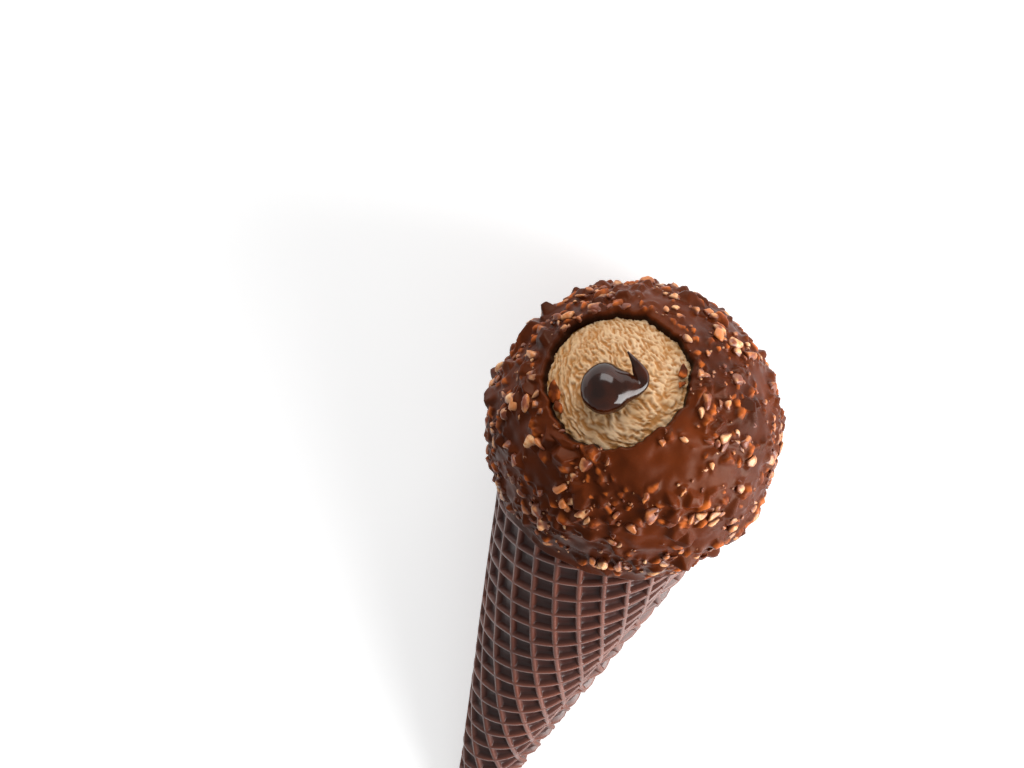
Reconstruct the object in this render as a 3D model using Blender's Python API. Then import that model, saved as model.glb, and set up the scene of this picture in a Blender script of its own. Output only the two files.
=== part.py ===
"""An ice cream cone lying on its side.

A sheet of waffle is rolled into a cone, ice cream fills it and stands out of it as a ball, a coat of
chocolate with chopped nuts covers the ball down to the waffle, and a round window in the coat shows
the ice cream with a drop of sauce on it.

Everything is drawn in the cone's own frame: the point where the cone's sides would meet is at the
origin, +Z runs from there to the middle of the ball, and the azimuth is measured about +Z from the
shown side. One empty then lays that frame down, with the shown side up. Lengths are in metres.
"""

import math
import random

import bmesh
import bpy
from mathutils import Matrix, Vector

MM = 0.001
GAP = 0.3 * MM

# The cone and how it lies
HALF_ANGLE = math.radians(10.69)
POINT_TO_BALL = 129.0 * MM
LIE_ANGLE = math.radians(12.2)
FLOOR_BELOW_BALL = 27.0 * MM

# The waffle sheet and its grid
SHEET_THICKNESS = 1.9 * MM
RIB_HEIGHT = 0.8 * MM
RIB_HALF_WIDTH = 1.0 * MM
GRID_PITCH = 4.81 * MM
GRID_START_X = 20.28
GRID_START_Y = 4.30
GRID_BOW = 0.1162
GRID_BOW_CENTRE = 56.0 * MM
GRID_AZIMUTH = math.radians(-121.67)
SHEET_TIP_HEIGHT = 12.0 * MM
SHEET_RIM_HEIGHT = 112.0 * MM
SEAM_AZIMUTH = math.radians(120.0)
OVERLAP_ANGLE = math.radians(25.0)
LIFT_ANGLE = math.radians(17.0)
LIFT = SHEET_THICKNESS + GAP
LARGEST_BEND = math.radians(50.0)
SMALLEST_EDGE = 0.02 * MM
TIP_HEIGHT = 10.7 * MM
TIP_PLUG_TOP = 18.5 * MM

# The ball of ice cream and the filling under it
BALL_RADIUS = 25.1 * MM
FILLING_BOTTOM = 27.0 * MM
FILLING_GAP = 0.55 * MM
BALL_COLUMNS = 26
BALL_ROWS = 13

# The coat, its window and its edge on the waffle
COAT_RADIUS = 27.3 * MM
COAT_INSIDE_RADIUS = BALL_RADIUS + 0.5 * MM
WINDOW_TILT = math.radians(40.5)
WINDOW_AZIMUTH = math.radians(-22.0)
WINDOW_RADIUS = 13.4 * MM
WINDOW_LOBE = 0.35 * MM
COLLAR_THICKNESS = 0.8 * MM
COLLAR_MARGIN = math.radians(8.0)
COAT_EDGE_ANGLE = math.radians(131.5)
COAT_COLUMNS = 48
COAT_ROWS = 17
COAT_INSIDE_ROWS = 9
LUMPS = 150
LUMP_HEIGHT = (0.35 * MM, 0.95 * MM)
LUMP_RADIUS = (1.4 * MM, 2.6 * MM)

# The drop of sauce: points of its middle line beside, along and above the window, each with a radius
SAUCE_TURN = math.radians(37.6)
SAUCE_LINE = (
    (-5.9, -2.6, 1.8, 0.4),
    (-5.3, -2.65, 1.9, 2.5),
    (-4.2, -2.7, 2.0, 3.7),
    (-2.8, -2.75, 2.1, 4.5),
    (-1.3, -2.75, 2.1, 4.65),
    (0.3, -2.65, 2.0, 4.1),
    (1.9, -2.4, 1.9, 3.0),
    (3.4, -2.2, 1.8, 2.1),
    (4.5, -1.7, 1.9, 1.4),
    (4.6, -0.6, 2.3, 1.35),
    (4.1, 0.4, 3.0, 1.15),
    (3.45, 1.5, 3.9, 0.65),
    (2.3, 3.0, 4.8, 0.15),
)
SAUCE_RINGS = 24
SAUCE_SIDES = 12
SAUCE_FLATTEN = 0.85

BALL_CENTRE = Vector((0.0, 0.0, POINT_TO_BALL))
UP_IN_CONE = Vector((math.cos(LIE_ANGLE), 0.0, math.sin(LIE_ANGLE)))
POINT_ABOVE_FLOOR = FLOOR_BELOW_BALL - POINT_TO_BALL * math.sin(LIE_ANGLE)


def smooth_step(value):
    value = min(1.0, max(0.0, value))
    return value * value * (3.0 - 2.0 * value)


def direction(tilt, azimuth):
    return Vector((math.sin(tilt) * math.cos(azimuth), math.sin(tilt) * math.sin(azimuth), math.cos(tilt)))


def axes_at(tilt, azimuth):
    """The outward direction, the one down the ball and the one along the azimuth, there."""
    outward = direction(tilt, azimuth)
    down = direction(tilt + math.pi / 2, azimuth)
    return outward, down, outward.cross(down)


def kept_above_floor(point):
    """The point, lifted to the floor plane if it lies below it."""
    below = -(point.dot(UP_IN_CONE) + POINT_ABOVE_FLOOR)
    return point + UP_IN_CONE * below if below > 0.0 else point


def material(name, colour, roughness):
    made = bpy.data.materials.new(name)
    made.use_nodes = True
    shader = made.node_tree.nodes["Principled BSDF"]
    shader.inputs["Base Color"].default_value = (*colour, 1.0)
    shader.inputs["Roughness"].default_value = roughness
    shader.inputs["Metallic"].default_value = 0.0
    return made


def add_object(name, mesh, finish, frame):
    mesh.materials.append(finish)
    mesh.shade_smooth()
    mesh.set_sharp_from_angle(angle=math.radians(35.0))
    made = bpy.data.objects.new(name, mesh)
    made.parent = frame
    bpy.context.scene.collection.objects.link(made)
    return made


def triangulated_mesh(name, bm):
    bmesh.ops.triangulate(bm, faces=bm.faces[:])
    bmesh.ops.recalc_face_normals(bm, faces=bm.faces[:])
    mesh = bpy.data.meshes.new(name)
    bm.to_mesh(mesh)
    bm.free()
    return mesh


def joined_rings(bm, rings, wrap):
    """Faces between each ring of vertices and the next; wrap also joins the last to the first."""
    count = len(rings)
    for index in range(count if wrap else count - 1):
        lower, upper = rings[index], rings[(index + 1) % count]
        sides = len(lower)
        for side in range(sides):
            following = (side + 1) % sides
            bm.faces.new((lower[side], lower[following], upper[following], upper[side]))


def capped(bm, ring, point):
    """A fan of triangles from a ring to one point."""
    middle = bm.verts.new(point)
    for side in range(len(ring)):
        bm.faces.new((ring[side], ring[(side + 1) % len(ring)], middle))


def turned(name, profile, columns):
    """A closed solid turned about +Z from (radius, height) points, the first and last on the axis."""
    bm = bmesh.new()
    rings = []
    for radius, height in profile[1:-1]:
        ring = [
            bm.verts.new((radius * math.cos(angle), radius * math.sin(angle), height))
            for angle in (2.0 * math.pi * column / columns for column in range(columns))
        ]
        rings.append(ring)
    joined_rings(bm, rings, wrap=False)
    capped(bm, rings[0], (0.0, 0.0, profile[0][1]))
    capped(bm, rings[-1], (0.0, 0.0, profile[-1][1]))
    return triangulated_mesh(name, bm)


# The waffle cone


def crossing(column, row):
    """Where two rib lines cross on the flat sheet, measured from the point its sides run to."""
    across = (GRID_START_X - column) * GRID_PITCH
    along = (GRID_START_Y + row) * GRID_PITCH
    bow = GRID_BOW * (across - GRID_BOW_CENTRE) ** 2 / GRID_BOW_CENTRE
    return Vector((across, along + bow, 0.0))


def sheet_angle(azimuth):
    """The flat sheet's own angle for an azimuth on the rolled cone."""
    return (azimuth - GRID_AZIMUTH) * math.sin(HALF_ANGLE)


def flat_waffle():
    """A slab of flat waffle: sharp ribs round hollow cells above, plain below, larger than the sheet."""
    bm = bmesh.new()
    reach = SHEET_RIM_HEIGHT / math.cos(HALF_ANGLE) + 2.0 * GRID_PITCH
    columns = range(-4, int(GRID_START_X) + 3)
    rows = range(-int(reach / GRID_PITCH), int(reach / GRID_PITCH))
    top, bottom = {}, {}
    for column in columns:
        for row in rows:
            corner = crossing(column, row)
            top[column, row] = bm.verts.new(corner)
            bottom[column, row] = bm.verts.new(corner - Vector((0.0, 0.0, SHEET_THICKNESS)))
    inset = RIB_HALF_WIDTH / GRID_PITCH
    sunk = Vector((0.0, 0.0, RIB_HEIGHT))
    for column in columns[:-1]:
        for row in rows[:-1]:
            corners = ((column, row), (column + 1, row), (column + 1, row + 1), (column, row + 1))
            insets = ((inset, inset), (1 - inset, inset), (1 - inset, 1 - inset), (inset, 1 - inset))
            floor = [bm.verts.new(crossing(column + a, row + b) - sunk) for a, b in insets]
            bm.faces.new(floor)
            for side in range(4):
                following = (side + 1) % 4
                rib = (top[corners[side]], top[corners[following]])
                bm.faces.new((rib[0], rib[1], floor[following], floor[side]))
            bm.faces.new([bottom[corner] for corner in reversed(corners)])
    first_column, last_column = columns[0], columns[-1]
    first_row, last_row = rows[0], rows[-1]
    edge = [(column, first_row) for column in columns[:-1]]
    edge += [(last_column, row) for row in rows[:-1]]
    edge += [(column, last_row) for column in reversed(columns[1:])]
    edge += [(first_column, row) for row in reversed(rows[1:])]
    for place, following in zip(edge, edge[1:] + edge[:1]):
        bm.faces.new((top[following], top[place], bottom[place], bottom[following]))
    return triangulated_mesh("flat_waffle", bm)


def sector_cutter():
    """The outline that the waffle sheet is cut to: a ring sector about the flat sheet's point."""
    bm = bmesh.new()
    start = sheet_angle(SEAM_AZIMUTH - 2.0 * math.pi - OVERLAP_ANGLE)
    end = sheet_angle(SEAM_AZIMUTH)
    inner = SHEET_TIP_HEIGHT / math.cos(HALF_ANGLE)
    outer = SHEET_RIM_HEIGHT / math.cos(HALF_ANGLE)
    steps = 48
    angles = [start + (end - start) * step / steps for step in range(steps + 1)]
    outline = [(outer * math.cos(angle), outer * math.sin(angle)) for angle in angles]
    outline += [(inner * math.cos(angle), inner * math.sin(angle)) for angle in reversed(angles[::8])]
    low = [bm.verts.new((x, y, -2.0 * SHEET_THICKNESS)) for x, y in outline]
    high = [bm.verts.new((x, y, SHEET_THICKNESS)) for x, y in outline]
    joined_rings(bm, [low, high], wrap=False)
    bm.faces.new(low)
    bm.faces.new(high)
    return triangulated_mesh("sector_cutter", bm)


def layer_lift(azimuth):
    """How far the sheet stands off the cone: its last part climbs onto its first part."""
    climb_start = SEAM_AZIMUTH - OVERLAP_ANGLE - LIFT_ANGLE
    return LIFT * smooth_step((azimuth - climb_start) / LIFT_ANGLE)


def rolled(point):
    """The place on the rolled cone of a point of the flat sheet."""
    slant = math.hypot(point.x, point.y)
    azimuth = math.atan2(point.y, point.x) / math.sin(HALF_ANGLE) + GRID_AZIMUTH
    along = direction(HALF_ANGLE, azimuth)
    outward = direction(HALF_ANGLE + math.pi / 2, azimuth)
    return along * slant + outward * (point.z + layer_lift(azimuth))


def applied(obj):
    """The object's mesh with its modifiers, as a new mesh."""
    graph = bpy.context.evaluated_depsgraph_get()
    return bpy.data.meshes.new_from_object(obj.evaluated_get(graph))


def cut_mesh(name, mesh, other, operation, folded=False):
    """The mesh cut by, or joined to, another one; folded is for a mesh that may touch itself."""
    target = bpy.data.objects.new(name, mesh)
    helper = bpy.data.objects.new(name + "_helper", other)
    bpy.context.scene.collection.objects.link(target)
    bpy.context.scene.collection.objects.link(helper)
    cut = target.modifiers.new(operation.lower(), "BOOLEAN")
    cut.operation = operation
    cut.object = helper
    cut.solver = "EXACT"
    cut.use_self = folded
    result = applied(target)
    bpy.data.objects.remove(target)
    bpy.data.objects.remove(helper)
    return result


def tip_plug():
    """The solid end where the rolled sheet is pinched shut."""
    top_radius = TIP_PLUG_TOP * math.tan(HALF_ANGLE) - SHEET_THICKNESS + 0.7 * MM
    profile = (
        (0.0, TIP_HEIGHT),
        (0.9 * MM, TIP_HEIGHT + 0.1 * MM),
        (1.5 * MM, TIP_HEIGHT + 0.5 * MM),
        (1.75 * MM, TIP_HEIGHT + 1.1 * MM),
        (1.75 * MM, TIP_HEIGHT + 2.5 * MM),
        (top_radius, TIP_PLUG_TOP),
        (0.0, TIP_PLUG_TOP + 0.3 * MM),
    )
    return turned("tip_plug", profile, 12)


def bend_of(edge):
    """The angle round the cone that an edge of the flat sheet will span."""
    angles = [math.atan2(vertex.co.y, vertex.co.x) for vertex in edge.verts]
    return abs(angles[0] - angles[1]) / math.sin(HALF_ANGLE)


def made_ready_to_roll(bm):
    """Splits the edges that would span too much of the cone, near its tip, where it is narrow."""
    for _ in range(2):
        bmesh.ops.triangulate(bm, faces=bm.faces[:])
        long_edges = [edge for edge in bm.edges if bend_of(edge) > LARGEST_BEND]
        bmesh.ops.subdivide_edges(bm, edges=long_edges, cuts=1)
    bmesh.ops.triangulate(bm, faces=bm.faces[:])


def waffle_cone():
    sheet = cut_mesh("sheet", flat_waffle(), sector_cutter(), "INTERSECT")
    bm = bmesh.new()
    bm.from_mesh(sheet)
    bmesh.ops.triangulate(bm, faces=bm.faces[:])
    bmesh.ops.dissolve_degenerate(bm, dist=SMALLEST_EDGE, edges=bm.edges[:])
    made_ready_to_roll(bm)
    for vertex in bm.verts:
        vertex.co = rolled(vertex.co)
    cone = triangulated_mesh("rolled_sheet", bm)
    return cut_mesh("waffle_cone", cone, tip_plug(), "UNION", folded=True)


# The ice cream


def wall_inside(height):
    """The radius inside the waffle's wall, less the gap."""
    return height * math.tan(HALF_ANGLE) - (SHEET_THICKNESS + FILLING_GAP) / math.cos(HALF_ANGLE)


def ice_cream():
    """The filling inside the waffle and the ball on it, turned as one piece."""
    meeting = SHEET_RIM_HEIGHT
    meeting_tilt = math.pi - math.asin(wall_inside(meeting) / BALL_RADIUS)
    profile = [(0.0, FILLING_BOTTOM)]
    profile += [
        (wall_inside(height), height)
        for height in (FILLING_BOTTOM + (meeting - FILLING_BOTTOM) * step / 4 for step in range(4))
    ]
    for row in range(BALL_ROWS):
        tilt = meeting_tilt * (1.0 - row / BALL_ROWS)
        profile.append((BALL_RADIUS * math.sin(tilt), POINT_TO_BALL + BALL_RADIUS * math.cos(tilt)))
    profile.append((0.0, POINT_TO_BALL + BALL_RADIUS))
    return turned("ice_cream", profile, BALL_COLUMNS)


# The chocolate coat


def scattered_lumps(seed):
    """Nuts under the coat: a direction from the ball's middle, a height and a radius for each."""
    chance = random.Random(seed)
    lumps = []
    for _ in range(LUMPS):
        upward = chance.uniform(-1.0, 1.0)
        turn = chance.uniform(0.0, 2.0 * math.pi)
        height = chance.uniform(*LUMP_HEIGHT)
        radius = chance.uniform(*LUMP_RADIUS)
        lumps.append((direction(math.acos(upward), turn), height, radius))
    return lumps


def lump_height(outward, lumps):
    """The height of the tallest lump there, each one a soft round hill."""
    tallest = 0.0
    for middle, height, radius in lumps:
        away = (outward - middle).length * COAT_RADIUS / radius
        if away < 1.0:
            tallest = max(tallest, height * (1.0 - away * away) ** 2)
    return tallest


def collar_lift(azimuth):
    """How far the coat's collar stands out to pass over the lifted layer of waffle and its edge."""
    past_seam = (azimuth - SEAM_AZIMUTH) % (2.0 * math.pi)
    before_seam = 2.0 * math.pi - past_seam
    rise = 1.0 - smooth_step((before_seam - OVERLAP_ANGLE) / (LIFT_ANGLE + COLLAR_MARGIN) + 0.1)
    fall = 1.0 - smooth_step((past_seam - COLLAR_MARGIN) / LIFT_ANGLE)
    return LIFT * max(rise, fall)


def collar_distance(tilt, azimuth):
    """How far from the ball's middle the coat's collar round the waffle lies, in that direction."""
    thickness = COLLAR_THICKNESS + collar_lift(azimuth)
    outside = POINT_TO_BALL * math.tan(HALF_ANGLE) + thickness / math.cos(HALF_ANGLE)
    return outside / (math.sin(tilt) - math.cos(tilt) * math.tan(HALF_ANGLE))


def coat_point(outward, lumps):
    """The coat's outer surface in a direction from the ball's middle."""
    tilt = math.acos(max(-1.0, min(1.0, outward.z)))
    distance = COAT_RADIUS + lump_height(outward, lumps)
    if tilt > math.pi / 2:
        distance = max(distance, collar_distance(tilt, math.atan2(outward.y, outward.x)))
    return kept_above_floor(BALL_CENTRE + outward * distance)


def window_reach(turn):
    """The window's half width as an angle at the ball's middle: a slightly lobed circle."""
    radius = WINDOW_RADIUS
    radius += WINDOW_LOBE * math.sin(3.0 * turn + 0.6)
    radius += 0.6 * WINDOW_LOBE * math.sin(7.0 * turn + 2.0)
    return math.asin(radius / COAT_RADIUS)


def loop_direction(share, turn):
    """A direction on a loop round the coat. Share 0 is the window's edge, and 1 the edge on the waffle."""
    outward, down, sideways = axes_at(WINDOW_TILT * (1.0 - share), WINDOW_AZIMUTH)
    reach = window_reach(turn) * (1.0 - share) + COAT_EDGE_ANGLE * share
    tangent = down * math.cos(turn) + sideways * math.sin(turn)
    return outward * math.cos(reach) + tangent * math.sin(reach)


def ring_about_cone(radius, height):
    """A ring of points round the waffle, in step with the coat's columns."""
    ring = []
    for column in range(COAT_COLUMNS):
        azimuth = 2.0 * math.pi * column / COAT_COLUMNS + WINDOW_AZIMUTH
        lifted = radius + collar_lift(azimuth) / math.cos(HALF_ANGLE)
        ring.append(Vector((lifted * math.cos(azimuth), lifted * math.sin(azimuth), height)))
    return ring


def chocolate_coat():
    """Loops over the outside, under the edge on the waffle, back inside and up the window's wall."""
    lumps = scattered_lumps(11)
    turns = [2.0 * math.pi * column / COAT_COLUMNS for column in range(COAT_COLUMNS)]
    loops = []
    for row in range(COAT_ROWS + 1):
        share = row / COAT_ROWS
        loops.append([coat_point(loop_direction(share, turn), lumps) for turn in turns])
    edge_distance = collar_distance(COAT_EDGE_ANGLE, WINDOW_AZIMUTH)
    edge_height = POINT_TO_BALL + edge_distance * math.cos(COAT_EDGE_ANGLE)
    beside_waffle = GAP / math.cos(HALF_ANGLE)
    rim_top = SHEET_RIM_HEIGHT + SHEET_THICKNESS * math.sin(HALF_ANGLE) + GAP
    under_rim = math.sqrt(COAT_INSIDE_RADIUS**2 - (POINT_TO_BALL - rim_top) ** 2)
    inside_edge = edge_height * math.tan(HALF_ANGLE) + beside_waffle
    over_rim = SHEET_RIM_HEIGHT * math.tan(HALF_ANGLE) + 2.0 * beside_waffle
    loops.append(ring_about_cone(inside_edge, edge_height))
    loops.append(ring_about_cone(over_rim, rim_top))
    loops.append([Vector((*(point.xy.normalized() * under_rim), rim_top)) for point in loops[-1]])
    last_share = (math.pi - math.asin(under_rim / COAT_INSIDE_RADIUS)) / COAT_EDGE_ANGLE
    for row in range(1, COAT_INSIDE_ROWS + 1):
        share = min(1.0, last_share) * (1.0 - row / COAT_INSIDE_ROWS)
        loops.append([BALL_CENTRE + loop_direction(share, turn) * COAT_INSIDE_RADIUS for turn in turns])
    bm = bmesh.new()
    joined_rings(bm, [[bm.verts.new(point) for point in loop] for loop in loops], wrap=True)
    return triangulated_mesh("chocolate_coat", bm)


# The sauce


def sauce_place(along):
    """The middle line's point and radius, read between the listed points; along runs from 0 to 1."""
    position = along * (len(SAUCE_LINE) - 1)
    index = min(int(position), len(SAUCE_LINE) - 2)
    part = position - index
    padded = (SAUCE_LINE[0],) + SAUCE_LINE + (SAUCE_LINE[-1],)
    before, start, end, after = padded[index : index + 4]
    weights = (
        -0.5 * part + part**2 - 0.5 * part**3,
        1.0 - 2.5 * part**2 + 1.5 * part**3,
        0.5 * part + 2.0 * part**2 - 1.5 * part**3,
        -0.5 * part**2 + 0.5 * part**3,
    )
    values = [
        sum(weight * point[axis] for weight, point in zip(weights, (before, start, end, after)))
        for axis in range(4)
    ]
    outward, down, sideways = axes_at(WINDOW_TILT, WINDOW_AZIMUTH)
    across = sideways * math.cos(SAUCE_TURN) - down * math.sin(SAUCE_TURN)
    up = -down * math.cos(SAUCE_TURN) - sideways * math.sin(SAUCE_TURN)
    flat = across * values[0] + up * values[1]
    place = BALL_CENTRE + outward * (BALL_RADIUS + values[2] * MM) + flat * MM
    return place, max(values[3], 0.1) * MM


def off_the_ball(point):
    """The point, pushed out until it is a gap clear of the ice cream."""
    away = point - BALL_CENTRE
    least = BALL_RADIUS + GAP
    return BALL_CENTRE + away.normalized() * least if away.length < least else point


def sauce_drop():
    """A drop with a tail that curls up to a point: rings across its middle line, flat on the ball."""
    bm = bmesh.new()
    outward = direction(WINDOW_TILT, WINDOW_AZIMUTH)
    rings = []
    for index in range(SAUCE_RINGS + 1):
        along = index / SAUCE_RINGS
        place, radius = sauce_place(along)
        ahead = sauce_place(min(1.0, along + 0.02))[0] - sauce_place(max(0.0, along - 0.02))[0]
        side = ahead.cross(outward).normalized()
        over = side.cross(ahead).normalized()
        ring = []
        for step in range(SAUCE_SIDES):
            turn = 2.0 * math.pi * step / SAUCE_SIDES
            offset = side * math.cos(turn) + over * (SAUCE_FLATTEN * math.sin(turn))
            ring.append(bm.verts.new(off_the_ball(place + offset * radius)))
        rings.append(ring)
    joined_rings(bm, rings, wrap=False)
    for ring, along in ((rings[0], 0.0), (rings[-1], 1.0)):
        capped(bm, ring, off_the_ball(sauce_place(along)[0]))
    return triangulated_mesh("sauce_drop", bm)


# The whole


def lying_frame():
    """The empty that lays the cone down with its shown side up."""
    frame = bpy.data.objects.new("cone_frame", None)
    bpy.context.scene.collection.objects.link(frame)
    along = Vector((math.cos(LIE_ANGLE), 0.0, math.sin(LIE_ANGLE)))
    shown = Vector((-math.sin(LIE_ANGLE), 0.0, math.cos(LIE_ANGLE)))
    sideways = along.cross(shown)
    frame.matrix_world = Matrix((shown, sideways, along)).transposed().to_4x4()
    return frame


def centre_on_floor(frame, pieces):
    """Moves the frame so that the whole stands on z = 0 with its box centred on the origin."""
    points = [frame.matrix_world @ vertex.co for piece in pieces for vertex in piece.data.vertices]
    low = [min(point[axis] for point in points) for axis in range(3)]
    high = [max(point[axis] for point in points) for axis in range(3)]
    frame.location = (-(low[0] + high[0]) / 2, -(low[1] + high[1]) / 2, -low[2])


def main():
    for old in list(bpy.data.objects):
        bpy.data.objects.remove(old)
    frame = lying_frame()
    waffle_finish = material("dark_waffle", (0.075, 0.032, 0.022), 0.55)
    cream_finish = material("caramel_ice_cream", (0.62, 0.44, 0.25), 0.6)
    coat_finish = material("milk_chocolate", (0.12, 0.032, 0.014), 0.35)
    sauce_finish = material("dark_sauce", (0.022, 0.008, 0.005), 0.1)
    pieces = [
        add_object("waffle_cone", waffle_cone(), waffle_finish, frame),
        add_object("ice_cream", ice_cream(), cream_finish, frame),
        add_object("chocolate_coat", chocolate_coat(), coat_finish, frame),
        add_object("sauce_drop", sauce_drop(), sauce_finish, frame),
    ]
    centre_on_floor(frame, pieces)


main()
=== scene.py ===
"""The looks of an ice cream cone lying on its side: waffle, chocolate coat, nuts, ice cream and sauce.

Shapes are drawn in the cone's own frame, in millimetres: the point where the cone's sides would meet
is the origin, +Z runs to the middle of the ball and azimuth 0 is the shown side. cone_to_world then
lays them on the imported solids.
"""

import math
import random

import bmesh
import bpy
import numpy as np
from mathutils import Matrix, Vector, noise


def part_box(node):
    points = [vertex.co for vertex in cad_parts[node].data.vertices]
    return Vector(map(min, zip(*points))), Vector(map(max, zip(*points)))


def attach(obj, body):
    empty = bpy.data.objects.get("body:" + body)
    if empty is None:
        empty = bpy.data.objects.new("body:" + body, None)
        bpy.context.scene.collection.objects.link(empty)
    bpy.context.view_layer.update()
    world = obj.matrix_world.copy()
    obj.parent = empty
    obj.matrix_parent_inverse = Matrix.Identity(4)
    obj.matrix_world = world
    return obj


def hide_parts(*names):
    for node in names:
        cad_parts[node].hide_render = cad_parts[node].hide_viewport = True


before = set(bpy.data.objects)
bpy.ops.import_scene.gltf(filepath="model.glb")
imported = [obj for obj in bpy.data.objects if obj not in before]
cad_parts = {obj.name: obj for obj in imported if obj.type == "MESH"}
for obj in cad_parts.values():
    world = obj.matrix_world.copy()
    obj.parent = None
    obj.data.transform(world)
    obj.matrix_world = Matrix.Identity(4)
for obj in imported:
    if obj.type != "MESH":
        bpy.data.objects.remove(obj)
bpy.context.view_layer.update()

MM = 0.001

# The cone's frame, as the solids are laid
LIE_ANGLE = math.radians(12.2)
HALF_ANGLE = math.radians(10.69)
POINT_TO_BALL = 129.0
BALL_RADIUS = 25.1
FLOOR_BELOW_BALL = 27.0
ALONG = Vector((math.cos(LIE_ANGLE), 0.0, math.sin(LIE_ANGLE)))
SHOWN = Vector((-math.sin(LIE_ANGLE), 0.0, math.cos(LIE_ANGLE)))
AXES = Matrix((SHOWN, ALONG.cross(SHOWN), ALONG)).transposed()
UP_IN_CONE = np.array((math.cos(LIE_ANGLE), 0.0, math.sin(LIE_ANGLE)))
POINT_ABOVE_FLOOR = FLOOR_BELOW_BALL - POINT_TO_BALL * math.sin(LIE_ANGLE)

# The camera, in the cone's frame
CAMERA_PLACE = (248.6, 0.0, 303.1)
CAMERA_AIM = (1.7, -24.3, 128.3)
CAMERA_UP = (-0.501, -0.406, 0.764)
CAMERA_LENS = 56.25

# Waffle
SHEET_THICKNESS = 1.9
GRID_PITCH = 4.81
GRID_START = (20.28, 4.30)
GRID_BOW = 0.1162
GRID_BOW_CENTRE = 56.0
GRID_AZIMUTH = math.radians(-121.67)
SHEET_TIP = 12.0 / math.cos(HALF_ANGLE)
SHEET_RIM = 112.0 / math.cos(HALF_ANGLE)
SEAM_AZIMUTH = math.radians(120.0)
OVERLAP_ANGLE = math.radians(25.0)
LIFT_ANGLE = math.radians(17.0)
LAYER_LIFT = SHEET_THICKNESS + 0.3
RIB_SHARES = (0.0, 0.065, 0.1, 0.135, 0.165, 0.36, 0.64, 0.835, 0.865, 0.9, 0.935)
CELL_DEPTH = 1.15

# The pinched tip: radius and height, from its end inwards
TIP_SIDES = 24
TIP_PROFILE = (
    (0.0, 10.7),
    (0.7, 10.75),
    (1.25, 10.95),
    (1.65, 11.35),
    (1.85, 11.9),
    (1.9, 12.6),
    (1.6, 14.5),
)

# Coat
COAT_RADIUS = 27.15
COAT_INSIDE_RADIUS = BALL_RADIUS + 0.12
WINDOW_TILT = math.radians(40.5)
WINDOW_AZIMUTH = math.radians(-22.0)
WINDOW_RADIUS = 13.4
WINDOW_OFF_CENTRE = 0.9
WINDOW_OFF_TURN = 4.325
COLLAR_THICKNESS = 0.55
COAT_EDGE_ANGLE = math.radians(131.5)
COAT_COLUMNS = 440
COAT_ROWS = 184
COAT_INSIDE_ROWS = 8


def direction(tilt, azimuth):
    """Unit vectors at these angles from +Z and about it."""
    tilt, azimuth = np.broadcast_arrays(tilt, azimuth)
    sides = np.sin(tilt)
    return np.stack((sides * np.cos(azimuth), sides * np.sin(azimuth), np.cos(tilt)), axis=-1)


def smooth_step(value):
    value = np.clip(value, 0.0, 1.0)
    return value * value * (3.0 - 2.0 * value)


def unit(vectors):
    return vectors / np.linalg.norm(vectors, axis=-1, keepdims=True)


BALL_CENTRE = np.array((0.0, 0.0, POINT_TO_BALL))
WINDOW_OUT = direction(WINDOW_TILT, WINDOW_AZIMUTH)
WINDOW_DOWN = direction(WINDOW_TILT + math.pi / 2, WINDOW_AZIMUTH)
WINDOW_SIDE = np.cross(WINDOW_OUT, WINDOW_DOWN)
FACE_TURN = math.radians(37.6)
FACE_ACROSS = WINDOW_SIDE * math.cos(FACE_TURN) - WINDOW_DOWN * math.sin(FACE_TURN)
FACE_UP = -WINDOW_DOWN * math.cos(FACE_TURN) - WINDOW_SIDE * math.sin(FACE_TURN)


def cone_to_world(points):
    """Points in millimetres in the cone's frame, as metres in the world."""
    low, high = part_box("ice_cream")
    ball = np.array((high[0] - BALL_RADIUS * MM, (low[1] + high[1]) / 2, FLOOR_BELOW_BALL * MM))
    turned = (np.asarray(points) - BALL_CENTRE) @ np.array(AXES).T
    return turned * MM + ball


def noise_at(points, scale, seed=0.0):
    """Smooth noise of about -1 to 1 at each point; scale is the size of its blobs."""
    shift = Vector((seed * 13.7, seed * 7.1, seed * 3.3))
    flat = np.asarray(points).reshape(-1, 3) / scale
    values = [noise.noise(Vector(point) + shift) for point in flat]
    return np.array(values).reshape(np.asarray(points).shape[:-1]) * 1.6


def add_piece(name, points, faces, finish, attributes=None):
    """A smooth-shaded piece riding on the cone, with its material and its per-point values."""
    mesh = bpy.data.meshes.new(name)
    mesh.from_pydata(cone_to_world(points).tolist(), [], faces)
    for label, values in (attributes or {}).items():
        layer = mesh.attributes.new(label, "FLOAT", "POINT")
        layer.data.foreach_set("value", np.asarray(values, dtype=np.float32).ravel())
    mesh.validate()
    mesh.shade_smooth()
    mesh.materials.append(finish)
    piece = bpy.data.objects.new(name, mesh)
    bpy.context.scene.collection.objects.link(piece)
    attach(piece, "root")
    return piece


def grid_faces(rows, columns, wrap_rows=False, flip=False):
    """Faces of a grid of points whose columns close on themselves."""
    faces = []
    for row in range(rows if wrap_rows else rows - 1):
        after = (row + 1) % rows
        for column in range(columns):
            beside = (column + 1) % columns
            face = (
                row * columns + column,
                row * columns + beside,
                after * columns + beside,
                after * columns + column,
            )
            faces.append(face[::-1] if flip else face)
    return faces


# Finishes


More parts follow.
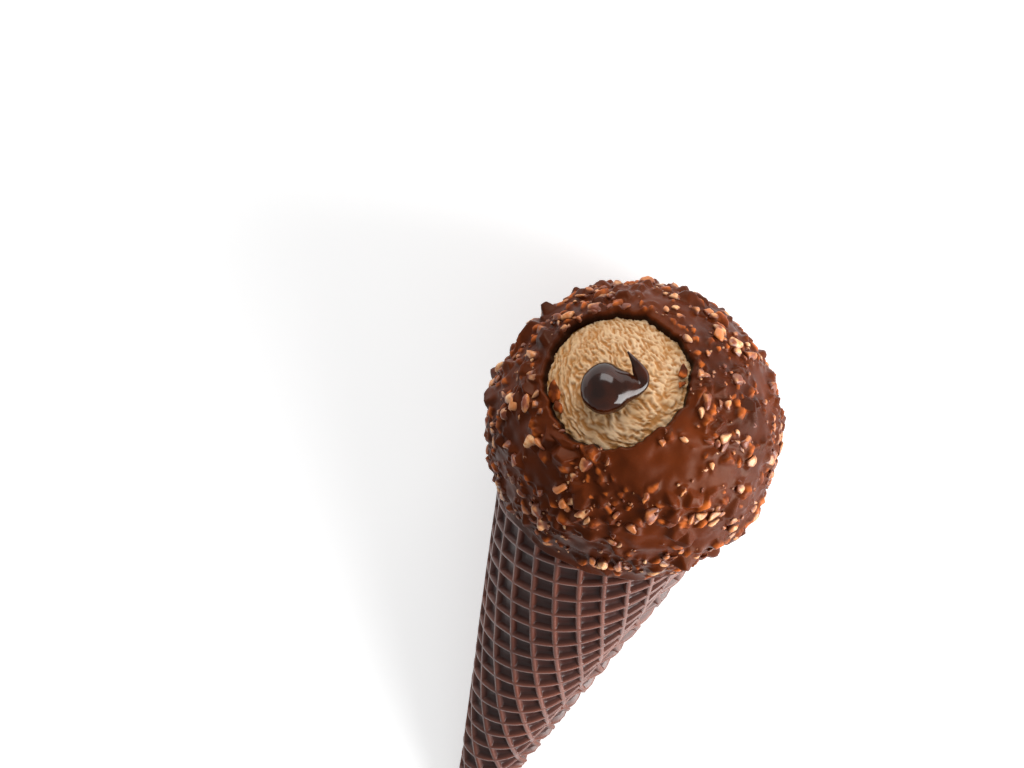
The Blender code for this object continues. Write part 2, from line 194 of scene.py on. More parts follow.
class Finish:
    """A material with a Principled shader, and short ways to add the nodes that feed it."""

    def __init__(self, name, roughness, coat=0.0, coat_roughness=0.15):
        self.material = bpy.data.materials.new(name)
        self.material.use_nodes = True
        self.nodes = self.material.node_tree.nodes
        self.links = self.material.node_tree.links
        self.shader = self.nodes["Principled BSDF"]
        self.set("Roughness", roughness)
        self.set("Coat Weight", coat)
        self.set("Coat Roughness", coat_roughness)
        self.place = self.add("ShaderNodeTexCoord").outputs["Object"]

    def set(self, socket, value):
        self.shader.inputs[socket].default_value = value

    def add(self, kind, **settings):
        node = self.nodes.new(kind)
        for key, value in settings.items():
            setattr(node, key, value)
        return node

    def join(self, output, target):
        self.links.new(output, target)

    def value_of(self, name):
        return self.add("ShaderNodeAttribute", attribute_name=name).outputs["Fac"]

    def noise(self, scale, detail=3.0, roughness=0.5):
        """A noise value; scale is in blobs for each metre."""
        node = self.add("ShaderNodeTexNoise")
        node.inputs["Scale"].default_value = scale
        node.inputs["Detail"].default_value = detail
        node.inputs["Roughness"].default_value = roughness
        self.join(self.place, node.inputs["Vector"])
        return node.outputs["Fac"]

    def mapped(self, value, low, high, new_low=0.0, new_high=1.0):
        node = self.add("ShaderNodeMapRange")
        sockets = ("From Min", "From Max", "To Min", "To Max")
        for socket, number in zip(sockets, (low, high, new_low, new_high)):
            node.inputs[socket].default_value = number
        self.join(value, node.inputs["Value"])
        return node.outputs["Result"]

    def mixed(self, share, first, second):
        """A colour between two; each is a colour or another node's output."""
        node = self.add("ShaderNodeMix", data_type="RGBA")
        if isinstance(share, float):
            node.inputs[0].default_value = share
        else:
            self.join(share, node.inputs[0])
        for socket, colour in ((node.inputs[6], first), (node.inputs[7], second)):
            if isinstance(colour, tuple):
                socket.default_value = (*colour, 1.0)
            else:
                self.join(colour, socket)
        return node.outputs[2]

    def bump(self, height, strength, distance):
        node = self.add("ShaderNodeBump")
        node.inputs["Strength"].default_value = strength
        node.inputs["Distance"].default_value = distance * MM
        self.join(height, node.inputs["Height"])
        self.join(node.outputs["Normal"], self.shader.inputs["Normal"])


def srgb(red, green, blue):
    """A colour given as screen values from 0 to 255, as linear light."""
    shares = (value / 255.0 for value in (red, green, blue))
    return tuple(s / 12.92 if s <= 0.04045 else ((s + 0.055) / 1.055) ** 2.4 for s in shares)


def uneven_gloss():
    """Node group: a roughness that wanders between two values in soft patches."""
    group = bpy.data.node_groups.new("uneven_gloss", "ShaderNodeTree")
    group.interface.new_socket("Place", in_out="INPUT", socket_type="NodeSocketVector")
    for label, start in (("Patch Scale", 180.0), ("Smoothest", 0.2), ("Roughest", 0.5)):
        socket = group.interface.new_socket(label, in_out="INPUT", socket_type="NodeSocketFloat")
        socket.default_value = start
    group.interface.new_socket("Roughness", in_out="OUTPUT", socket_type="NodeSocketFloat")
    enter = group.nodes.new("NodeGroupInput")
    leave = group.nodes.new("NodeGroupOutput")
    patches = group.nodes.new("ShaderNodeTexNoise")
    patches.inputs["Detail"].default_value = 2.0
    spread = group.nodes.new("ShaderNodeMapRange")
    spread.inputs["From Min"].default_value = 0.35
    spread.inputs["From Max"].default_value = 0.65
    links = group.links
    links.new(enter.outputs["Place"], patches.inputs["Vector"])
    links.new(enter.outputs["Patch Scale"], patches.inputs["Scale"])
    links.new(patches.outputs["Fac"], spread.inputs["Value"])
    links.new(enter.outputs["Smoothest"], spread.inputs["To Min"])
    links.new(enter.outputs["Roughest"], spread.inputs["To Max"])
    links.new(spread.outputs["Result"], leave.inputs["Roughness"])
    return group


GLOSS_GROUP = uneven_gloss()


def give_gloss(finish, patch_scale, smoothest, roughest):
    """Places the uneven gloss group in a finish with its own values."""
    node = finish.add("ShaderNodeGroup", node_tree=GLOSS_GROUP)
    node.inputs["Patch Scale"].default_value = patch_scale
    node.inputs["Smoothest"].default_value = smoothest
    node.inputs["Roughest"].default_value = roughest
    finish.join(finish.place, node.inputs["Place"])
    finish.join(node.outputs["Roughness"], finish.shader.inputs["Roughness"])


def chocolate_finish():
    """Milk chocolate: orange brown where thin over a nut, with painted shade on the window's wall."""
    finish = Finish("milk_chocolate", 0.36)
    finish.set("Specular IOR Level", 0.12)
    finish.set("Specular Tint", (1.0, 0.78, 0.6, 1.0))
    patches = finish.mapped(finish.noise(70.0), 0.35, 0.65)
    base = finish.mixed(patches, srgb(64, 23, 6), srgb(90, 36, 9))
    film = finish.mapped(finish.value_of("film"), 0.3, 1.0, 0.0, 0.85)
    thinness = finish.mapped(finish.noise(420.0, detail=2.0), 0.4, 0.6)
    covered = finish.mixed(thinness, srgb(112, 48, 17), srgb(196, 100, 40))
    colour = finish.mixed(film, base, covered)
    # Painted shade: the window's wall (the "wall" value) is coloured near black to stand in for the shadow
    # on it
    with_painted_wall_shade = finish.mixed(finish.value_of("wall"), colour, srgb(34, 12, 5))
    finish.join(with_painted_wall_shade, finish.shader.inputs["Base Color"])
    give_gloss(finish, 160.0, 0.3, 0.5)
    finish.bump(finish.noise(900.0, detail=2.0), 0.12, 0.25)
    finish.set("Subsurface Weight", 0.06)
    finish.set("Subsurface Radius", (1.0, 0.4, 0.2))
    finish.set("Subsurface Scale", 0.001)
    return finish.material


def nut_finish(name, pale, golden, skin, roughness, coat):
    """Chopped nut: pale where cut, golden where roasted, skin brown in places."""
    finish = Finish(name, roughness, coat=coat)
    tone = finish.value_of("tone")
    grain = finish.mapped(finish.noise(1100.0, detail=3.0), 0.4, 0.7)
    toned = finish.mapped(tone, 0.15, 0.9)
    body = finish.mixed(toned, golden, pale)
    speckled = finish.mixed(grain, body, golden)
    skinned = finish.mapped(finish.noise(330.0, detail=2.0), 0.48, 0.6)
    colour = finish.mixed(skinned, speckled, skin)
    smeared = finish.mixed(finish.value_of("bared"), srgb(98, 42, 15), colour)
    finish.join(smeared, finish.shader.inputs["Base Color"])
    finish.bump(finish.noise(1500.0), 0.25, 0.2)
    finish.set("Subsurface Weight", 0.12)
    finish.set("Subsurface Radius", (1.0, 0.6, 0.35))
    finish.set("Subsurface Scale", 0.0015)
    return finish.material


def ice_cream_finish():
    """Caramel ice cream: pale on its crests, with golden painted shade in its hollows."""
    finish = Finish("caramel_ice_cream", 0.6)
    finish.set("Specular IOR Level", 0.25)
    height = finish.mapped(finish.value_of("height"), 0.1, 0.85)
    patches = finish.mapped(finish.noise(220.0), 0.35, 0.65)
    crest = finish.mixed(patches, srgb(212, 178, 140), srgb(196, 157, 114))
    # Painted shade: the low parts of the relief are coloured darker golden to stand in for the shadow in
    # the hollows
    colour = finish.mixed(height, srgb(172, 116, 58), crest)
    finish.join(colour, finish.shader.inputs["Base Color"])
    finish.bump(finish.noise(2200.0, detail=2.0), 0.2, 0.15)
    finish.set("Subsurface Weight", 0.2)
    finish.set("Subsurface Radius", (1.0, 0.75, 0.5))
    finish.set("Subsurface Scale", 0.002)
    return finish.material


def sauce_finish():
    """Dark chocolate sauce: wet, with a faint unevenness in its shine."""
    finish = Finish("dark_sauce", 0.1)
    finish.set("Specular IOR Level", 0.4)
    patches = finish.mapped(finish.noise(260.0, detail=1.0), 0.4, 0.6)
    colour = finish.mixed(patches, srgb(34, 11, 3), srgb(56, 21, 6))
    finish.join(colour, finish.shader.inputs["Base Color"])
    give_gloss(finish, 220.0, 0.06, 0.2)
    finish.bump(finish.noise(420.0, detail=1.0), 0.06, 0.4)
    return finish.material


def waffle_finish():
    """Cocoa waffle: red brown on its ribs, darker in its cells, finely baked all over."""
    finish = Finish("cocoa_waffle", 0.38)
    finish.set("Specular IOR Level", 0.5)
    finish.set("Sheen Weight", 0.2)
    finish.set("Sheen Roughness", 0.3)
    finish.set("Sheen Tint", (1.0, 0.9, 0.88, 1.0))
    patches = finish.mapped(finish.noise(90.0), 0.35, 0.65)
    cell = finish.mixed(patches, srgb(50, 20, 14), srgb(64, 29, 21))
    rib = finish.mixed(patches, srgb(94, 47, 33), srgb(116, 62, 44))
    colour = finish.mixed(finish.value_of("height"), cell, rib)
    finish.join(colour, finish.shader.inputs["Base Color"])
    give_gloss(finish, 240.0, 0.3, 0.46)
    finish.bump(finish.noise(1600.0, detail=3.0), 0.2, 0.15)
    return finish.material


# Waffle


def rib_height(share):
    """The height at a share of the way across a cell: 1 on the rib, 0 on the cell's floor."""
    nearest = np.minimum(share, 1.0 - share)
    return 1.0 - smooth_step((nearest - 0.07) / 0.09)


def waffle_cone(finish):
    """The rolled sheet: a flat grid of cells, cut to its outline, bent round the cone."""
    slope = math.sin(HALF_ANGLE)
    start = (SEAM_AZIMUTH - 2.0 * math.pi - OVERLAP_ANGLE - GRID_AZIMUTH) * slope
    end = (SEAM_AZIMUTH - GRID_AZIMUTH) * slope
    cells_across = np.arange(-4, 23)
    cells_along = np.arange(-24, 25)
    shares = np.array(RIB_SHARES)
    across = (cells_across[:, None] + shares[None, :]).ravel()
    along = (cells_along[:, None] + shares[None, :]).ravel()
    column, row = np.meshgrid(across, along, indexing="ij")
    x = (GRID_START[0] - column) * GRID_PITCH
    y = (GRID_START[1] + row) * GRID_PITCH + GRID_BOW * (x - GRID_BOW_CENTRE) ** 2 / GRID_BOW_CENTRE
    relief = np.maximum(rib_height(column % 1.0), rib_height(row % 1.0))
    slant = np.hypot(x, y)
    angle = np.arctan2(y, x)
    inside = (slant > SHEET_TIP) & (slant < SHEET_RIM) & (angle > start) & (angle < end)
    quads = inside[:-1, :-1] | inside[1:, :-1] | inside[:-1, 1:] | inside[1:, 1:]
    near = np.abs(angle) < 1.6
    quads &= near[:-1, :-1] & near[1:, :-1] & near[:-1, 1:] & near[1:, 1:]
    slant = np.clip(slant, SHEET_TIP, SHEET_RIM)
    angle = np.clip(angle, start, end)
    azimuth = angle / slope + GRID_AZIMUTH
    lift = LAYER_LIFT * smooth_step((azimuth - SEAM_AZIMUTH + OVERLAP_ANGLE + LIFT_ANGLE) / LIFT_ANGLE)
    outward = direction(HALF_ANGLE + math.pi / 2, azimuth)
    surface = direction(HALF_ANGLE, azimuth) * slant[..., None]
    wave = 0.1 * noise_at(surface, 9.0, seed=3.0)
    depth = (relief - 1.0) * CELL_DEPTH
    top = surface + outward * (lift + depth + wave)[..., None]
    under = surface + outward * (lift - SHEET_THICKNESS)[..., None]
    number = -np.ones(slant.shape, dtype=int)
    used = np.zeros(slant.shape, dtype=bool)
    for shift_x, shift_y in ((0, 0), (1, 0), (0, 1), (1, 1)):
        used[shift_x : quads.shape[0] + shift_x, shift_y : quads.shape[1] + shift_y] |= quads
    number[used] = np.arange(used.sum())
    total = int(used.sum())
    corners = np.stack((number[:-1, :-1], number[:-1, 1:], number[1:, 1:], number[1:, :-1]), axis=-1)[quads]
    faces = [tuple(face) for face in corners.tolist()]
    sides = {}
    for face in faces:
        for first, second in zip(face, face[1:] + face[:1]):
            if (second, first) in sides:
                del sides[second, first]
            else:
                sides[first, second] = True
    walls = [(second, first, first + total, second + total) for first, second in sides]
    lower = [tuple(index + total for index in reversed(face)) for face in faces]
    points = np.concatenate((top[used], under[used]))
    heights = np.concatenate((relief[used], relief[used] * 0.0))
    piece = add_piece("waffle_sheet", points, faces + lower + walls, finish, {"height": heights})
    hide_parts("waffle_cone")


def waffle_tip(finish):
    """The solid nub where the sheet is pinched shut."""
    turns = np.arange(TIP_SIDES) / TIP_SIDES * 2.0 * math.pi
    points = [
        (radius * math.cos(turn) * (1.0 + 0.04 * math.sin(3 * turn)), radius * math.sin(turn), height)
        for radius, height in TIP_PROFILE[1:]
        for turn in turns
    ]
    faces = grid_faces(len(TIP_PROFILE) - 1, TIP_SIDES)
    low, high = len(points), len(points) + 1
    points += [(0.0, 0.0, TIP_PROFILE[0][1]), (0.0, 0.0, TIP_PROFILE[-1][1])]
    last = (len(TIP_PROFILE) - 2) * TIP_SIDES
    faces += [((side + 1) % TIP_SIDES, side, low) for side in range(TIP_SIDES)]
    faces += [(last + side, last + (side + 1) % TIP_SIDES, high) for side in range(TIP_SIDES)]
    add_piece("waffle_tip", np.array(points), faces, finish, {"height": [0.6] * len(points)})


# Nuts


# Kind, how many, smallest size, how much larger at most, and how closely they may sit
NUT_KINDS = (
    ("hidden", 210, 1.8, 3.0, 0.24),
    ("film", 420, 1.0, 2.2, 0.26),
    ("bare", 620, 0.9, 2.5, 0.27),
    ("crumb", 600, 0.4, 0.6, 0.27),
)


class Nut:
    """One piece of nut: where it sits, how wide and high it is, its flat sides and its kind."""

    def __init__(self, chance, place, size, kind):
        self.place = place
        self.size = size
        self.kind = kind
        self.turn = chance.uniform(0.0, 2.0 * math.pi)
        self.long = chance.uniform(1.0, 1.7)
        self.height = size * chance.uniform(0.28, 0.5)
        self.sides = [
            (angle + chance.uniform(-0.5, 0.5), chance.uniform(0.62, 1.0), chance.uniform(0.8, 2.2))
            for angle in (2.0 * math.pi * side / 5 for side in range(5))
        ]
        self.lean = (chance.uniform(-0.35, 0.35), chance.uniform(-0.35, 0.35))
        helper = np.array((0.0, 0.0, 1.0)) if abs(place[2]) < 0.9 else np.array((1.0, 0.0, 0.0))
        first = unit(np.cross(helper, place))
        second = np.cross(place, first)
        self.first = first * math.cos(self.turn) + second * math.sin(self.turn)
        self.second = np.cross(place, self.first)


def window_distance(place):
    """The angle between a direction and the middle of the window's edge."""
    aside = WINDOW_DOWN * math.cos(WINDOW_OFF_TURN) + WINDOW_SIDE * math.sin(WINDOW_OFF_TURN)
    middle = unit(WINDOW_OUT * COAT_RADIUS + aside * WINDOW_OFF_CENTRE)
    return math.acos(max(-1.0, min(1.0, float(place @ middle))))


def scatter_nuts():
    """Nuts over the coat, closer together in clusters, none over the window or below the edge."""
    chance = random.Random(7)
    nuts = []
    for kind, count, smallest, spread, spacing in NUT_KINDS:
        made = tries = 0
        while made < count and tries < 40 * count:
            tries += 1
            upward = chance.uniform(-0.66, 1.0)
            turn = chance.uniform(0.0, 2.0 * math.pi)
            place = direction(math.acos(upward), turn)
            cluster = noise.noise(Vector(place) * 4.2 + Vector((3.0, 1.0, 5.0)))
            if chance.random() > 0.62 + 1.2 * cluster:
                continue
            size = smallest + spread * chance.random() ** 1.6
            from_window = window_distance(place) * COAT_RADIUS
            if from_window < WINDOW_RADIUS + 0.5 * size + 0.2:
                continue
            if nuts:
                gaps = np.linalg.norm(np.array([nut.place for nut in nuts]) - place, axis=1) * COAT_RADIUS
                sizes = np.array([nut.size for nut in nuts])
                if np.any(gaps < spacing * (size + sizes)):
                    continue
            nuts.append(Nut(chance, place, size, kind))
            made += 1
    return nuts


def nut_hill(nut, first, second):
    """The height over the coat of a nut's top at places beside its middle, as flat sides meeting."""
    first = first / nut.long
    half = nut.size * 0.5
    top = nut.height * (1.0 + nut.lean[0] * first / half + nut.lean[1] * second / half)
    for angle, reach, steep in nut.sides:
        out = first * math.cos(angle) + second * math.sin(angle)
        top = np.minimum(top, (half * reach - out) * steep)
    return top


# Coat


def window_reach(turn):
    """The window's half width as an angle at the ball's middle: ragged, and a little off centre."""
    radius = WINDOW_RADIUS + WINDOW_OFF_CENTRE * np.cos(turn - WINDOW_OFF_TURN)
    radius = radius + 0.35 * np.sin(3.0 * turn + 0.6) + 0.2 * np.sin(7.0 * turn + 2.0)
    radius = radius + 0.16 * np.sin(13.0 * turn + 1.0) + 0.12 * np.sin(19.0 * turn + 4.0)
    radius = radius + 0.08 * np.sin(31.0 * turn) + 0.05 * np.sin(47.0 * turn + 2.0)
    return np.arcsin(radius / COAT_RADIUS)


def loop_direction(share, turn):
    """A direction on a loop round the coat: share 0 at the window's edge, 1 at the edge on the waffle."""
    tilt = WINDOW_TILT * (1.0 - share)
    outward = direction(tilt, WINDOW_AZIMUTH)
    down = direction(tilt + math.pi / 2, WINDOW_AZIMUTH)
    sideways = np.cross(outward, down)
    reach = window_reach(turn) * (1.0 - share) + COAT_EDGE_ANGLE * share
    tangent = down * np.cos(turn)[:, None] + sideways * np.sin(turn)[:, None]
    return outward * np.cos(reach)[:, None] + tangent * np.sin(reach)[:, None]


def collar_lift(azimuth):
    """How far the collar stands out to pass over the lifted layer of waffle and its edge."""
    past = (azimuth - SEAM_AZIMUTH) % (2.0 * math.pi)
    before = 2.0 * math.pi - past
    margin = math.radians(4.0)
    rise = 1.0 - smooth_step((before - OVERLAP_ANGLE) / (LIFT_ANGLE + margin))
    fall = 1.0 - smooth_step((past - margin) / LIFT_ANGLE)
    return LAYER_LIFT * np.maximum(rise, fall)


def collar_distance(outward):
    """How far from the ball's middle the collar round the waffle lies, in those directions."""
    tilt = np.arccos(np.clip(outward[..., 2], -1.0, 1.0))
    azimuth = np.arctan2(outward[..., 1], outward[..., 0])
    thickness = COLLAR_THICKNESS + 0.25 * np.sin(5.0 * azimuth) * np.sin(9.0 * azimuth + 1.0)
    raised = thickness + collar_lift(azimuth)
    outside = POINT_TO_BALL * math.tan(HALF_ANGLE) + raised / math.cos(HALF_ANGLE)
    slope = np.sin(tilt) - np.cos(tilt) * math.tan(HALF_ANGLE)
    distance = outside / np.maximum(slope, 0.2)
    return np.where(tilt > math.pi / 2, distance, 0.0)


def nut_relief(outward, nuts):
    """The coat's height over its nuts, and how thin the chocolate lies on them."""
    height = np.zeros(len(outward))
    film = np.zeros(len(outward))
    for nut in nuts:
        reach = nut.size * nut.long * 0.9 + 0.7
        close = np.nonzero(outward @ nut.place > math.cos(reach / COAT_RADIUS))[0]
        offset = (outward[close] - nut.place) * COAT_RADIUS
        hill = nut_hill(nut, offset @ nut.first, offset @ nut.second)
        if nut.kind in ("bare", "crumb"):
            hill = np.minimum(hill, nut.height * 0.7)
            softness = 0.34
        else:
            softness = 0.3
        soft = 0.5 * (hill + np.sqrt(hill * hill + softness * softness)) - 0.02
        fade = 1.0 - smooth_step((np.linalg.norm(offset, axis=1) - reach + 0.6) / 0.6)
        height[close] = np.maximum(height[close], soft * fade)
        if nut.kind == "film":
            thin = np.clip(hill / max(nut.height, 0.1), 0.0, 1.0) * fade
            film[close] = np.maximum(film[close], thin)
    return height, film


def chocolate_coat(finish, nuts):
    """A closed shell: over the outside, under the edge on the waffle, back inside, up the window's wall."""
    turns = np.arange(COAT_COLUMNS) / COAT_COLUMNS * 2.0 * math.pi
    shares = np.linspace(0.0, 1.0, COAT_ROWS + 1)
    outward = np.concatenate([loop_direction(share, turns) for share in shares])
    height, film = nut_relief(outward, nuts)
    around = outward * COAT_RADIUS
    swell = 0.42 * noise_at(around, 6.0, seed=1.0) + 0.2 * noise_at(around, 2.4, seed=2.0)
    from_window = np.repeat(shares, COAT_COLUMNS)
    swell = swell * smooth_step((from_window - 0.004) / 0.05)
    rounding = 0.25 * (1.0 - smooth_step(from_window / 0.006))
    distance = COAT_RADIUS + height + swell - rounding
    collar = collar_distance(outward)
    blend = 0.8
    more = np.maximum(distance, collar)
    near = np.maximum(blend - np.abs(distance - collar), 0.0) / blend
    distance = more + near * near * blend * 0.25
    points = BALL_CENTRE + outward * distance[:, None]
    below = -(points @ UP_IN_CONE + POINT_ABOVE_FLOOR)
    points += UP_IN_CONE * np.maximum(below, 0.0)[:, None]
    rows = [points]
    azimuths = turns + WINDOW_AZIMUTH
    edge = points[-COAT_COLUMNS:]
    rim = SHEET_RIM * math.cos(HALF_ANGLE)
    lifts = collar_lift(azimuths)
    for inset, level in ((0.25, 0.35), (0.05, 0.1)):
        raised = lifts + inset * COLLAR_THICKNESS
        radius = edge[:, 2] * math.tan(HALF_ANGLE) + raised / math.cos(HALF_ANGLE)
        along = edge[:, 2] - level * 0.5
        rows.append(np.stack((radius * np.cos(azimuths), radius * np.sin(azimuths), along), axis=1))
    radius = rim * math.tan(HALF_ANGLE) + (lifts + 0.1) / math.cos(HALF_ANGLE)
    top = np.full(COAT_COLUMNS, rim + 0.6)
    rows.append(np.stack((radius * np.cos(azimuths), radius * np.sin(azimuths), top), axis=1))
    last = (math.pi - math.acos((POINT_TO_BALL - rim - 0.6) / COAT_INSIDE_RADIUS)) / COAT_EDGE_ANGLE
    for row in range(COAT_INSIDE_ROWS + 1):
        share = last * (1.0 - row / COAT_INSIDE_ROWS)
        rows.append(BALL_CENTRE + loop_direction(share, turns) * COAT_INSIDE_RADIUS)
    wall = loop_direction(0.0, turns)
    for level in (0.35, 0.7):
        reach = COAT_INSIDE_RADIUS + level * (COAT_RADIUS - 0.6 - COAT_INSIDE_RADIUS)
        rows.append(BALL_CENTRE + wall * reach)
    everything = np.concatenate(rows)
    values = np.zeros(len(everything))
    values[: len(film)] = film
    # The last three rows, up the window's wall, get painted shade through the "wall" value
    painted_shade_rows = np.zeros(len(everything))
    painted_shade_rows[-3 * COAT_COLUMNS :] = 1.0
    faces = grid_faces(len(everything) // COAT_COLUMNS, COAT_COLUMNS, wrap_rows=True)
    looks = {"film": values, "wall": painted_shade_rows}
    piece = add_piece("chocolate_coat_shell", everything, faces, finish, looks)
    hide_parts("chocolate_coat")


# Ice cream in the window


def scooped_face(finish):
    """The torn face of the ice cream in the window: ridges dragged one way, with hollows between."""
    rings, columns = 92, 300
    radii = np.linspace(0.0, 15.6, rings + 1)[1:]
    turns = np.arange(columns) / columns * 2.0 * math.pi
    radius, turn = np.meshgrid(radii, turns, indexing="ij")
    side = (radius * np.sin(turn)).ravel()
    down = (radius * np.cos(turn)).ravel()
    side = np.append(side, 0.0)
    down = np.append(down, 0.0)
    flat = np.stack((side, down, np.zeros_like(side)), axis=1)
    across = side * (WINDOW_SIDE @ FACE_ACROSS) + down * (WINDOW_DOWN @ FACE_ACROSS)
    upward = side * (WINDOW_SIDE @ FACE_UP) + down * (WINDOW_DOWN @ FACE_UP)
    drag = math.radians(-52.0) + 0.035 * across
    warp = 0.5 * noise_at(flat, 4.5, seed=4.0)
    length = across * np.cos(drag) + upward * np.sin(drag) + warp
    width = -across * np.sin(drag) + upward * np.cos(drag) + 0.45 * noise_at(flat, 2.4, seed=5.0)
    ridge = noise_at(np.stack((length / 1.7, width / 0.62, flat[:, 2]), axis=1), 1.0, seed=6.0)
    crumb = noise_at(np.stack((length / 0.7, width / 0.4, flat[:, 2]), axis=1), 1.0, seed=7.0)
    height = smooth_step(0.55 + 0.5 * ridge + 0.35 * crumb)
    distance = BALL_RADIUS - 0.05 + 0.42 * height
    outward = unit(WINDOW_OUT * BALL_RADIUS + np.outer(side, WINDOW_SIDE) + np.outer(down, WINDOW_DOWN))
    top = BALL_CENTRE + outward * distance[:, None]
    count = len(top)
    faces = grid_faces(rings, columns)
    faces += [(column, (column + 1) % columns, count - 1)[::-1] for column in range(columns)]
    hem = BALL_CENTRE + outward[(rings - 1) * columns : rings * columns] * (BALL_RADIUS - 0.6)
    points = np.concatenate((top, hem, [BALL_CENTRE + WINDOW_OUT * (BALL_RADIUS - 0.6)]))
    last = (rings - 1) * columns
    for column in range(columns):
        beside = (column + 1) % columns
        faces.append((last + column, last + beside, count + beside, count + column))
        faces.append((count + column, count + beside, count + columns))
    # The heights also set the golden painted shade in the hollows, in the ice cream's finish
    heights = np.concatenate((height, np.zeros(columns + 1)))
    add_piece("scooped_face", points, faces, finish, {"height": heights})


# Nut pieces and flakes

# Flakes on the ice cream: across, up, half width, half length and lean
COAT_FLAKES = (
    (-12.2, -2.2, 2.3, 4.2, 0.15),
    (-11.6, -5.2, 1.6, 2.4, -0.5),
    (12.2, 1.9, 1.9, 3.0, 0.1),
    (11.9, -0.6, 1.1, 1.5, 0.6),
)


def ball_mesh(levels):
    """Points and faces of a ball of triangles."""
    bm = bmesh.new()
    bmesh.ops.create_icosphere(bm, subdivisions=levels, radius=1.0)
    points = np.array([vertex.co for vertex in bm.verts])
    faces = np.array([[vertex.index for vertex in face.verts] for face in bm.faces])
    bm.free()
    return points, faces


def chipped_shape(chance, points, flats):
    """A ball cut by flats: each point is pulled in to the nearest of the flats."""
    radius = np.full(len(points), 1.0)
    for _ in range(flats):
        way = unit(np.array([chance.gauss(0.0, 1.0) for _ in range(3)]))
        depth = chance.uniform(0.4, 0.74)
        facing = points @ way
        radius = np.where(facing > 0.05, np.minimum(radius, depth / np.maximum(facing, 0.05)), radius)
    return points * radius[:, None]


def nut_pieces(name, nuts, levels, finish, seed, sink, proud):
    """One joined mesh of chopped pieces set into the coat."""
    chance = random.Random(seed)
    ball, ball_faces = ball_mesh(levels)
    points, faces, tones, bared = [], [], [], []
    for nut in nuts:
        shape = chipped_shape(chance, ball, 8)
        half = nut.size * 0.5
        scale = np.array((half * nut.long, half, half * chance.uniform(0.6, 0.95)))
        lean = chance.uniform(-0.6, 0.6)
        shape = shape * scale
        tipped = shape.copy()
        tipped[:, 1] = shape[:, 1] * math.cos(lean) - shape[:, 2] * math.sin(lean)
        tipped[:, 2] = shape[:, 1] * math.sin(lean) + shape[:, 2] * math.cos(lean)
        base = COAT_RADIUS + nut.height * proud - sink * half
        middle = BALL_CENTRE + nut.place * base
        placed = middle + np.outer(tipped[:, 0], nut.first) + np.outer(tipped[:, 1], nut.second)
        placed = placed + np.outer(tipped[:, 2], nut.place)
        below = -(placed @ UP_IN_CONE + POINT_ABOVE_FLOOR)
        placed += UP_IN_CONE * np.maximum(below, 0.0)[:, None]
        faces.append(ball_faces + len(points) * len(ball))
        points.append(placed)
        tones.append(np.full(len(ball), chance.random()))
        out_of_coat = np.linalg.norm(placed - BALL_CENTRE, axis=1) - COAT_RADIUS - nut.height * 0.5
        bared.append(smooth_step(out_of_coat / 0.45))
    return add_piece(
        name,
        np.concatenate(points),
        np.concatenate(faces).tolist(),
        finish,
        {"tone": np.concatenate(tones), "bared": np.concatenate(bared)},
    )


def coat_flakes(finish):
    """Flakes of the coat left lying on the ice cream at the window's edge."""
    chance = random.Random(31)
    ball, ball_faces = ball_mesh(4)
    points, faces, films = [], [], []
    for across, upward, wide, tall, lean in COAT_FLAKES:
        shape = chipped_shape(chance, ball, 12) * np.array((wide, tall, 1.1)) * 0.65
        outward = unit(WINDOW_OUT * BALL_RADIUS + FACE_ACROSS * across + FACE_UP * upward)
        first = unit(np.cross(FACE_UP * math.cos(lean) + FACE_ACROSS * math.sin(lean), outward))
        second = np.cross(outward, first)
        rough = 0.12 * noise_at(shape, 0.8, seed=8.0)
        local = shape + unit(shape) * rough[:, None]
        placed = BALL_CENTRE + outward * (BALL_RADIUS + 0.75)
        placed = placed + np.outer(local[:, 0], first) + np.outer(local[:, 1], second)
        placed = placed + np.outer(local[:, 2], outward)
        faces.append(ball_faces + len(points) * len(ball))
        points.append(placed)
        films.append(np.clip(0.5 + noise_at(shape, 1.6, seed=9.0), 0.0, 0.9))
    values = {"film": np.concatenate(films), "wall": np.zeros(len(points) * len(ball))}
    triangles = np.concatenate(faces).tolist()
    add_piece("coat_flakes", np.concatenate(points), triangles, finish, values)


# Sauce

# Points of the drop's middle line: across, up, height and radius
SAUCE_LINE = (
    (-5.9, -2.6, 1.8, 0.4),
    (-5.3, -2.65, 1.9, 2.5),
    (-4.2, -2.7, 2.0, 3.7),
    (-2.8, -2.75, 2.1, 4.5),
    (-1.3, -2.75, 2.1, 4.65),
    (0.3, -2.65, 2.0, 4.1),
    (1.9, -2.4, 1.9, 3.0),
    (3.4, -2.2, 1.8, 2.1),
    (4.5, -1.7, 1.9, 1.4),
    (4.6, -0.6, 2.3, 1.35),
    (4.1, 0.4, 3.0, 1.15),
    (3.45, 1.5, 3.9, 0.65),
    (2.3, 3.0, 4.8, 0.15),
)
SAUCE_FLATTEN = 0.85


def line_value(points, along):
    """A point on the smooth curve through the listed points; along runs from 0 to 1."""
    points = np.array(points)
    position = along * (len(points) - 1)
    index = min(int(position), len(points) - 2)
    part = position - index
    padded = np.concatenate((points[:1], points, points[-1:]))
    before, start, end, after = padded[index : index + 4]
    return 0.5 * (
        2.0 * start
        + (end - before) * part
        + (2.0 * before - 5.0 * start + 4.0 * end - after) * part**2
        + (3.0 * start - before - 3.0 * end + after) * part**3
    )


